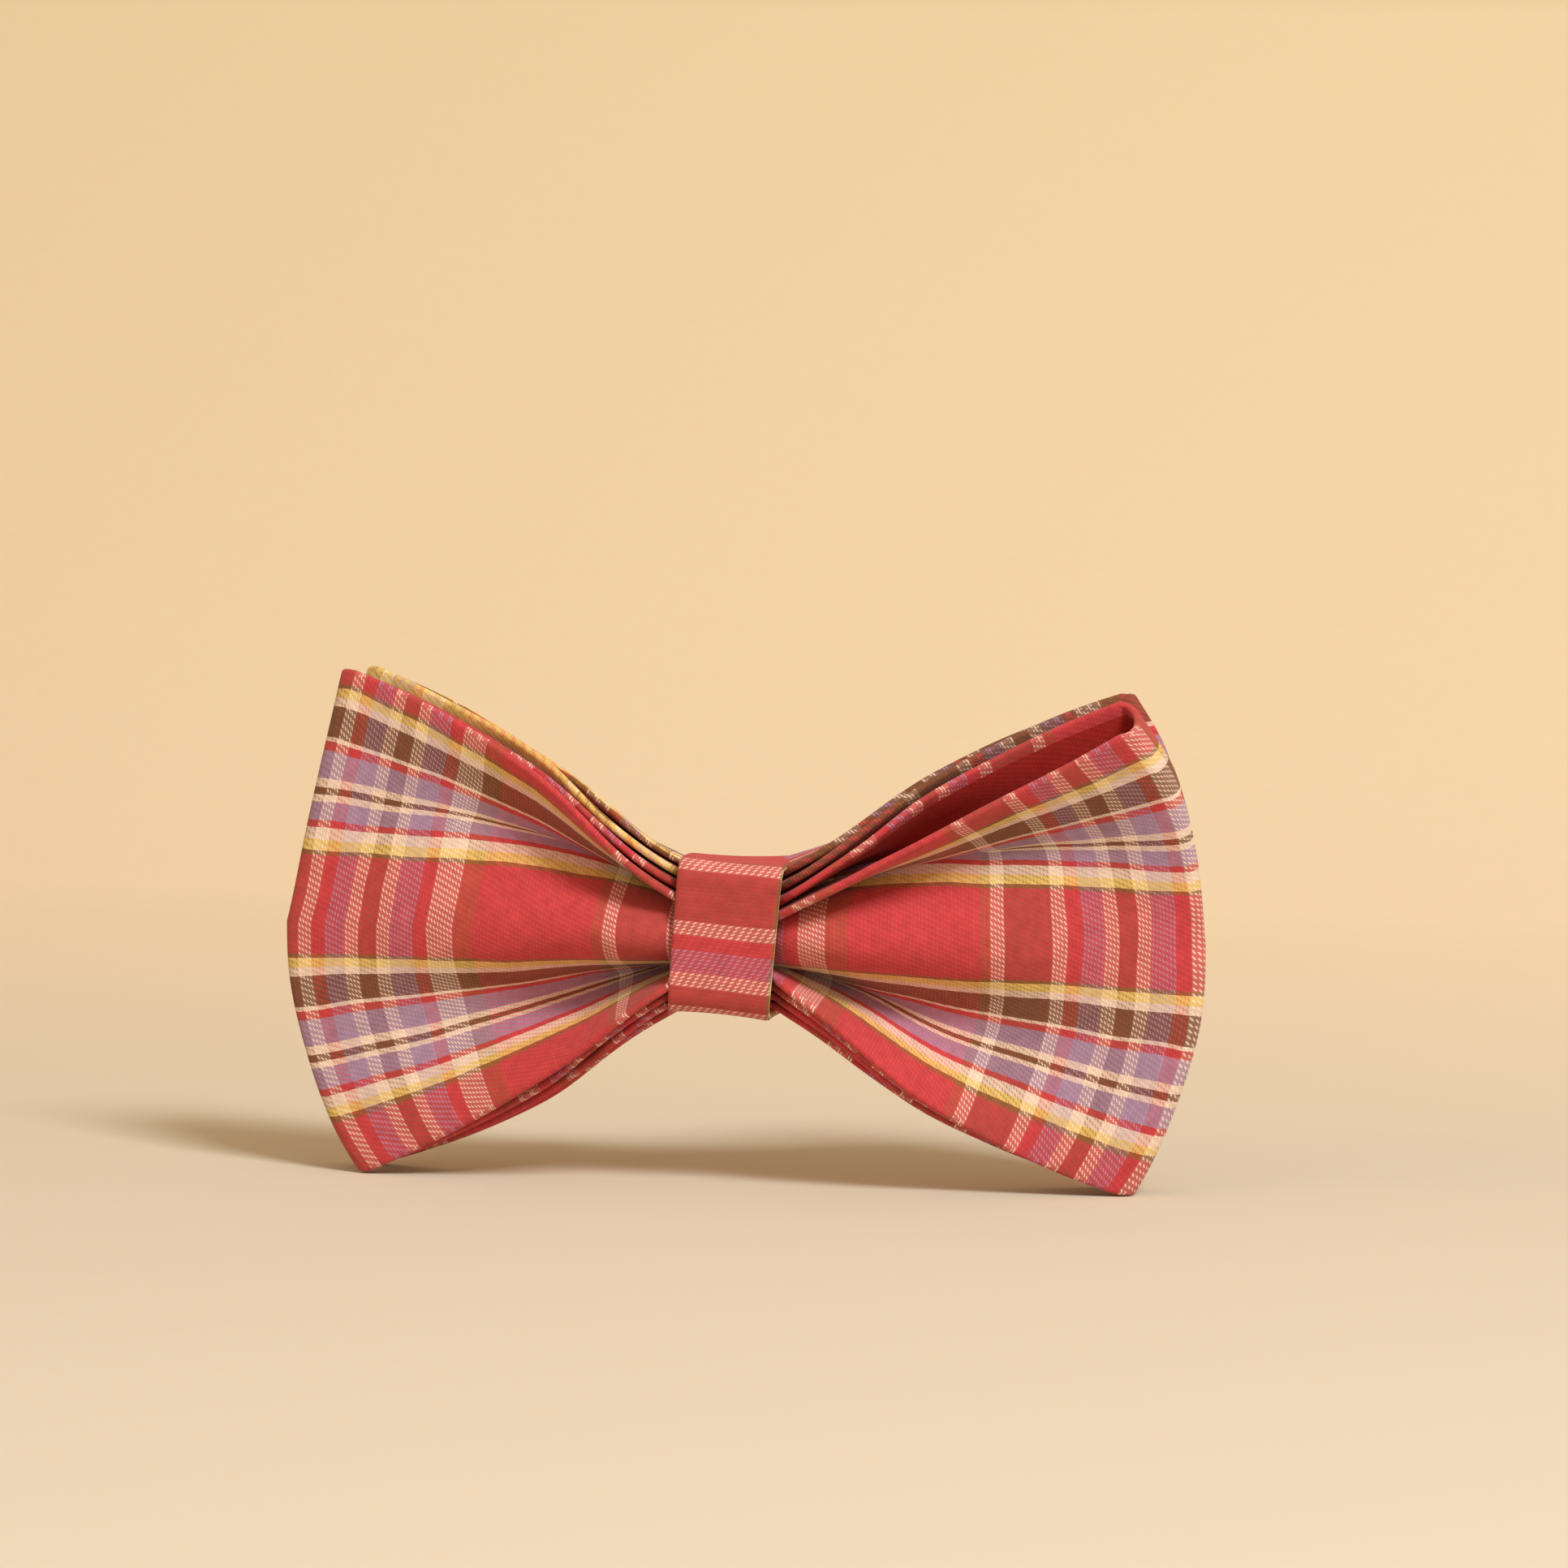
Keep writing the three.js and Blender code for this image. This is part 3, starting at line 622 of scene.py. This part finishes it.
def plaid(name, warp_shift=0.0, weft_shift=0.0, skew=0.0, creep=0.0, lined=False):
    """Yarn-dyed twill. The UV map "cloth" holds millimetres along and down the cloth. skew slants
    the weft's stripes, and creep offsets them from wing to wing across the waist. A lined strip
    is plain red on the face inside its loop."""
    n = Nodes(name)
    cloth = n.add("ShaderNodeUVMap", uv_map="cloth").outputs[0]
    parts = n.add("ShaderNodeSeparateXYZ")
    n.put(parts.inputs[0], cloth)
    along, down = parts.outputs[0], parts.outputs[1]
    noise = n.noise(cloth, WANDER_SCALE, 1.0)
    wander = n.math("MULTIPLY", n.math("SUBTRACT", noise, 0.5), WANDER)
    warp_offset = YARNS_BEFORE * YARN_PITCH - WARP_START + warp_shift
    across = n.math("ADD", n.math("ADD", along, wander), warp_offset)
    past_waist = n.math("MAXIMUM", n.math("MINIMUM", n.math("DIVIDE", along, WAIST_HALF), 1.0), -1.0)
    drift = n.math("ADD", n.math("MULTIPLY", along, skew), n.math("MULTIPLY", past_waist, creep))
    weft_offset = REPEATS_BEFORE * WEFT_REPEAT - WEFT_START + weft_shift
    height = n.math("ADD", n.math("ADD", n.math("ADD", down, wander), drift), weft_offset)

    column = n.math("DIVIDE", across, YARN_PITCH)
    column_index = n.math("FLOOR", column)
    column_place = n.math("SUBTRACT", n.math("FRACT", column), 0.5)
    climb = n.math("MULTIPLY", column_index, TWILL_STEP)
    row = n.math("SUBTRACT", n.math("DIVIDE", height, TWILL_RISE), climb)
    row_place = n.math("SUBTRACT", n.math("FRACT", row), 0.5)
    pick = n.math("DIVIDE", height, PICK)
    pick_index = n.math("FLOOR", pick)
    dash = dash_mask(n, row_place, column_place)

    warp_place = n.math("MULTIPLY", n.math("ADD", column_index, 0.5), YARN_PITCH)
    weft_place = n.math("MULTIPLY", n.math("ADD", pick_index, 0.5), PICK)
    warp_colour = n.stripes(warp_place, running(WARP_COUNTS, YARN_PITCH))
    weft_colour = n.stripes(weft_place, running(WEFT_WIDTHS))
    share = n.math("MULTIPLY_ADD", dash, WARP_ON_TOP - WARP_BENEATH, WARP_BENEATH)
    seen = n.mix(share, weft_colour, warp_colour)
    if lined:
        from_middle = n.math("ABSOLUTE", n.math("SUBTRACT", down, STRIP_HALF))
        inside = n.math("GREATER_THAN", from_middle, STRIP_HALF + LINING_HEM)
        seen = n.mix(inside, seen, (*LINING, 1.0))
    # The dye's unevenness together with the shade painted between the dashes.
    shade = dye_and_painted_gap_shade(n, cloth, column_index, pick_index, dash)
    n.put(n.shader.inputs["Base Color"], n.mix(1.0, seen, shade, "MULTIPLY"))

    add_weave_relief(n, cloth, dash, column_place, pick)
    n.put(n.shader.inputs["Roughness"], n.math("MULTIPLY_ADD", n.noise(cloth, 2.0, 2.0), 0.12, 0.76))
    n.shader.inputs["Specular IOR Level"].default_value = 0.25
    n.shader.inputs["Sheen Weight"].default_value = 0.12
    n.shader.inputs["Sheen Roughness"].default_value = 0.5
    n.shader.inputs["Sheen Tint"].default_value = (1.0, 0.93, 0.88, 1.0)
    return n.material


BRUSH_SCALE = (900.0, 900.0, 9000.0)
TARNISH_SCALE = 300.0
TARNISH_SHADE = 0.82
THREAD_TWIST_SCALE = 900.0
# How dark the shade painted into the thread's grooves is.
THREAD_GROOVE_PAINTED_SHADE = 0.55


def metal(name, base, roughness):
    """Plated sheet steel with fine drawn lines, faint rubs and a duller tint in places."""
    n = Nodes(name)
    place = n.add("ShaderNodeTexCoord").outputs["Object"]
    stretch = n.add("ShaderNodeMapping")
    stretch.inputs["Scale"].default_value = BRUSH_SCALE
    n.put(stretch.inputs["Vector"], place)
    lines = n.noise(stretch.outputs[0], 1.0, 3.0)
    cloud = n.noise(place, TARNISH_SCALE, 4.0)
    tint = n.mix(cloud, (*[c * TARNISH_SHADE for c in base], 1.0), (*base, 1.0))
    n.put(n.shader.inputs["Base Color"], tint)
    rough = n.math("ADD", n.math("MULTIPLY", lines, 0.12), n.math("MULTIPLY_ADD", cloud, 0.15, roughness))
    n.put(n.shader.inputs["Roughness"], rough)
    n.shader.inputs["Metallic"].default_value = 1.0
    n.add_bump(lines, 0.12, 0.02)
    return n.material


def thread(name, colour):
    """Twisted sewing thread, with shade painted into the grooves of its twist."""
    n = Nodes(name)
    place = n.add("ShaderNodeTexCoord").outputs["Object"]
    wave = n.add("ShaderNodeTexWave", wave_type="BANDS", bands_direction="DIAGONAL")
    n.put(wave.inputs["Vector"], place)
    wave.inputs["Scale"].default_value = THREAD_TWIST_SCALE
    wave.inputs["Distortion"].default_value = 0.6
    twist = wave.outputs["Fac"]
    # Painted shade: the grooves of the twist are darkened.
    painted_groove_shade = [c * THREAD_GROOVE_PAINTED_SHADE for c in colour]
    n.put(n.shader.inputs["Base Color"], n.mix(twist, (*painted_groove_shade, 1.0), (*colour, 1.0)))
    n.add_bump(twist, 0.6, 0.04)
    n.shader.inputs["Roughness"].default_value = 0.7
    n.shader.inputs["Sheen Weight"].default_value = 0.3
    return n.material


# ---- camera ------------------------------------------------------------------------------

CAMERA_AZIMUTH = 7.6
CAMERA_ELEVATION = 3.8
CAMERA_ROLL = 0.8
CAMERA_DISTANCE = 0.75
SENSOR_WIDTH = 36.0
FRAME_WIDTH = 0.206
AIM = Vector((0.0, -0.0033, 0.0332))
AIM_UP = 0.0200
AIM_RIGHT = 0.0063


def add_camera():
    azimuth = math.radians(CAMERA_AZIMUTH)
    elevation = math.radians(CAMERA_ELEVATION)
    back = Vector((
        math.sin(azimuth) * math.cos(elevation),
        -math.cos(azimuth) * math.cos(elevation),
        math.sin(elevation),
    ))
    right = Vector((math.cos(azimuth), math.sin(azimuth), 0.0))
    up = back.cross(right)
    target = AIM + up * AIM_UP + right * AIM_RIGHT
    data = bpy.data.cameras.new("camera")
    data.sensor_width = SENSOR_WIDTH
    data.lens = SENSOR_WIDTH * CAMERA_DISTANCE / FRAME_WIDTH
    data.clip_start = 0.01
    camera = bpy.data.objects.new("camera", data)
    camera.location = target + back * CAMERA_DISTANCE
    turn = Quaternion(back, math.radians(CAMERA_ROLL)) @ back.to_track_quat("Z", "Y")
    camera.rotation_euler = turn.to_euler()
    bpy.context.scene.collection.objects.link(camera)
    bpy.context.scene.camera = camera


add_camera()

# ---- the bows ----------------------------------------------------------------------------


def add_bow(bow, seed, material):
    """One bow's cloth, a closed flattened tube round both its loops."""
    shares = np.linspace(-1.0, 1.0, FACE_STEPS + 1)
    grid, distance = bow_middle(bow, shares)
    fade = smooth((np.abs(grid[..., 0]) - RIPPLE_FROM_X) / RIPPLE_FADE_X)
    push = ripple(grid, seed, RIPPLE_SIZE, RIPPLE_HEIGHT) * fade
    grid = grid + surface_normals(grid) * push[..., None]
    rings, along, around = folded_tube(grid, distance, shares, HALF_THICKNESS)
    name = f"{bow}_bow_cloth"
    piece = closed_mesh(name, rings, along, around, FABRIC_WIDTH)
    face_outwards(piece)
    piece.data.materials.append(material)
    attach(piece, "bow")
    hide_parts(f"{bow}_bow", f"{bow}_bow_interfacing")


add_bow("front", 11, plaid("plaid_front", skew=-0.014, lined=True))
add_bow(
    "back", 23, plaid("plaid_back", warp_shift=9.0, weft_shift=4.5, skew=0.004, creep=1.15, lined=True)
)

# ---- the centre band ---------------------------------------------------------------------

BAND_FRONT = -9.76
BAND_BACK = 4.34
BAND_LAP = 1.2
BAND_START_Z = 3.0
BAND_END_Z = -5.0
BAND_HALF_HEIGHT = 9.75
BAND_ROUND = 2.4
BAND_LEAN = 4.2
BAND_COLUMNS = 26
BAND_ROWS = 150
BAND_CORNER_STEPS = 10
BAND_CROWN = 0.25
BAND_FLARE = 0.015
BAND_SHIFT = -0.4
BAND_TWIST_DEPTH = 8.0
BAND_CLOTH_SPAN = 0.9


def rounded_line(corners, radius, steps):
    """A line through corner points with the corners rounded."""
    points = [np.array(c, dtype=float) for c in corners]
    line = [points[0]]
    for before, corner, after in zip(points, points[1:], points[2:]):
        a = (before - corner) / np.linalg.norm(before - corner)
        b = (after - corner) / np.linalg.norm(after - corner)
        half = math.acos(np.clip(a @ b, -1, 1)) / 2
        reach = radius / math.tan(half)
        centre = corner + (a + b) / np.linalg.norm(a + b) * radius / math.sin(half)
        start, end = corner + a * reach - centre, corner + b * reach - centre
        for t in np.linspace(0.0, 1.0, steps + 1):
            arm = start * math.cos(t * math.pi / 2) + end * math.sin(t * math.pi / 2)
            line.append(centre + arm * radius / np.linalg.norm(arm))
    line.append(points[-1])
    return np.array(line)


def evenly(line, count):
    """count places evenly along a line, and how far along each is."""
    steps = np.linalg.norm(np.diff(line, axis=0), axis=1)
    reach = np.concatenate([[0.0], np.cumsum(steps)])
    wanted = np.linspace(0.0, reach[-1], count)
    return np.stack([np.interp(wanted, reach, line[:, k]) for k in (0, 1)], axis=1), wanted


def add_band(material):
    """The band, wrapped once round the waist and lapped at the back; its front leans a little."""
    half = BAND_HALF_HEIGHT
    corners = [
        (BAND_BACK, BAND_START_Z),
        (BAND_BACK, -half),
        (BAND_FRONT, -half),
        (BAND_FRONT, half),
        (BAND_BACK + BAND_LAP, half),
        (BAND_BACK + BAND_LAP, BAND_END_Z),
    ]
    line, distance = evenly(rounded_line(corners, BAND_ROUND, BAND_CORNER_STEPS), BAND_ROWS)
    shares = np.linspace(-1.0, 1.0, BAND_COLUMNS + 1)
    grid = np.zeros((len(line), len(shares), 3))
    width = BAND_HALF - HALF_THICKNESS
    grid[..., 0] = shares[None, :] * width
    grid[..., 1] = line[:, 0, None]
    grid[..., 2] = CENTRE_Z + line[:, 1, None]
    crown = BAND_CROWN * (1.0 - shares**2)
    grid = grid - surface_normals(grid) * crown[None, :, None]
    forward = smooth((BAND_BACK - line[:, 0]) / BAND_TWIST_DEPTH)[:, None]
    lean = math.radians(BAND_LEAN) * forward
    z = grid[..., 2] - CENTRE_Z
    x = grid[..., 0] * (1.0 + BAND_FLARE * z / half)
    grid[..., 0] = x * np.cos(lean) + z * np.sin(lean) + BAND_SHIFT * forward
    grid[..., 2] = CENTRE_Z - x * np.sin(lean) + z * np.cos(lean)
    front_middle = np.argmin(np.hypot(line[:, 0] - BAND_FRONT, line[:, 1]))
    from_front = np.repeat(distance[front_middle] - distance[:, None], len(shares), axis=1)
    rings, along, _ = folded_tube(grid, from_front, shares, HALF_THICKNESS)
    span = BAND_CLOTH_SPAN * BAND_HALF
    around = np.linspace(-span, 3 * span, rings.shape[1] + 1)[:-1]
    piece = closed_mesh("band_cloth", rings, along, around, 4 * span)
    face_outwards(piece)
    piece.data.materials.append(material)
    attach(piece, "bow")
    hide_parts("centre_band", "centre_band_interfacing")


add_band(plaid("plaid_band", warp_shift=45.5, weft_shift=24.1))

# ---- the parts kept as they are ----------------------------------------------------------


def dress(names, material):
    """Gives the CAD nodes of these names a material."""
    for name in names:
        slots = bpy.data.objects[name].data.materials
        slots.clear()
        slots.append(material)


NICKEL = metal("nickel", (0.62, 0.60, 0.55), 0.24)
SPRING_STEEL = metal("spring_steel", (0.50, 0.50, 0.51), 0.28)
RED_THREAD = thread("red_thread", linear(150, 28, 36))

dress(("clip_base", "clip_jaw_left", "clip_jaw_right", "clip_pin_left", "clip_pin_right"), NICKEL)
dress(("clip_spring_left", "clip_spring_right"), SPRING_STEEL)
dress(("gathering_thread", "band_stitches"), RED_THREAD)

# ---- floor, backdrop and light -----------------------------------------------------------

# The paper's colour with painted light, by how far back plus how far up it is: the floor, the curve, the
# wall.
# The floor is painted darker where the key light falls strongest, and painted shade darkens the wall
# towards its top.
PAPER_AND_PAINTED_FALLOFF = (
    (0.05, linear(214, 208, 192)),
    (0.40, linear(246, 232, 206)),
    (0.96, linear(234, 220, 190)),
    (1.04, linear(190, 164, 124)),
)
PAPER_FLECK = linear(226, 200, 160)
PAPER_FLECK_SHARE = 0.12
PAPER_GRAIN_SCALE = 260.0

# The sweep's width and the places its floor, curve and wall run through, in metres.
SWEEP_HALF = 1.4
SWEEP_FLOOR_Y = (-1.2, -0.6, 0.0, 0.35)
SWEEP_RADIUS = 0.5
SWEEP_CURVE_STEPS = 12
SWEEP_TOP = 1.6


def add_sweep():
    """A seamless paper sweep: floor, a wide curve and a wall behind, its colour stepped to paint the
    light's falloff.
    """
    line = [(y, 0.0) for y in SWEEP_FLOOR_Y]
    bend = SWEEP_FLOOR_Y[-1]
    for angle in np.linspace(0.0, math.pi / 2, SWEEP_CURVE_STEPS + 1)[1:]:
        line.append((bend + SWEEP_RADIUS * math.sin(angle), SWEEP_RADIUS * (1 - math.cos(angle))))
    line.append((bend + SWEEP_RADIUS, SWEEP_TOP))
    points = [(x, y, z) for y, z in line for x in (-SWEEP_HALF, SWEEP_HALF)]
    faces = [(2 * i, 2 * i + 1, 2 * i + 3, 2 * i + 2) for i in range(len(line) - 1)]
    mesh = bpy.data.meshes.new("floor")
    mesh.from_pydata(points, [], faces)
    mesh.shade_smooth()
    floor = bpy.data.objects.new("floor", mesh)
    bpy.context.scene.collection.objects.link(floor)
    n = Nodes("paper")
    place = n.add("ShaderNodeTexCoord").outputs["Object"]
    grain = n.math("MULTIPLY", n.noise(place, PAPER_GRAIN_SCALE, 4.0), PAPER_FLECK_SHARE)
    parts = n.add("ShaderNodeSeparateXYZ")
    n.put(parts.inputs[0], place)
    reach = n.math("ADD", parts.outputs[1], parts.outputs[2])
    # Painted light: the ramp darkens the floor near the bow and the top of the wall.
    paper = (*PAPER_AND_PAINTED_FALLOFF[0][1], 1.0)
    for (near, _), (far, colour) in zip(PAPER_AND_PAINTED_FALLOFF, PAPER_AND_PAINTED_FALLOFF[1:]):
        share = n.math("DIVIDE", n.math("SUBTRACT", reach, near), far - near, clamp=True)
        paper = n.mix(share, paper, (*colour, 1.0))
    n.put(n.shader.inputs["Base Color"], n.mix(grain, paper, (*PAPER_FLECK, 1.0)))
    n.shader.inputs["Roughness"].default_value = 0.9
    n.shader.inputs["Specular IOR Level"].default_value = 0.1
    mesh.materials.append(n.material)


LIGHT_AIM = Vector((0.0, 0.0, 0.03))
AMBIENT_COLOUR = (1.0, 0.74, 0.50, 1.0)
AMBIENT_STRENGTH = 0.58


def add_light(name, location, size, power, colour):
    """A soft rectangular light turned towards the bow."""
    data = bpy.data.lights.new(name, "AREA")
    data.shape = "RECTANGLE"
    data.size, data.size_y = size
    data.energy = power
    data.color = colour
    light = bpy.data.objects.new(name, data)
    light.location = location
    aim = LIGHT_AIM - Vector(location)
    light.rotation_euler = aim.to_track_quat("-Z", "Y").to_euler()
    bpy.context.scene.collection.objects.link(light)


add_sweep()
add_light("key", (0.68, -0.82, 1.12), (0.42, 0.42), 18.2, (1.0, 0.99, 0.97))
add_light("fill", (-1.0, -0.9, 0.9), (1.2, 1.0), 2.6, (1.0, 0.74, 0.50))

world = bpy.data.worlds.new("world")
world.use_nodes = True
background = world.node_tree.nodes["Background"]
background.inputs["Color"].default_value = AMBIENT_COLOUR
background.inputs["Strength"].default_value = AMBIENT_STRENGTH
bpy.context.scene.world = world
bpy.context.scene.view_settings.view_transform = "Standard"
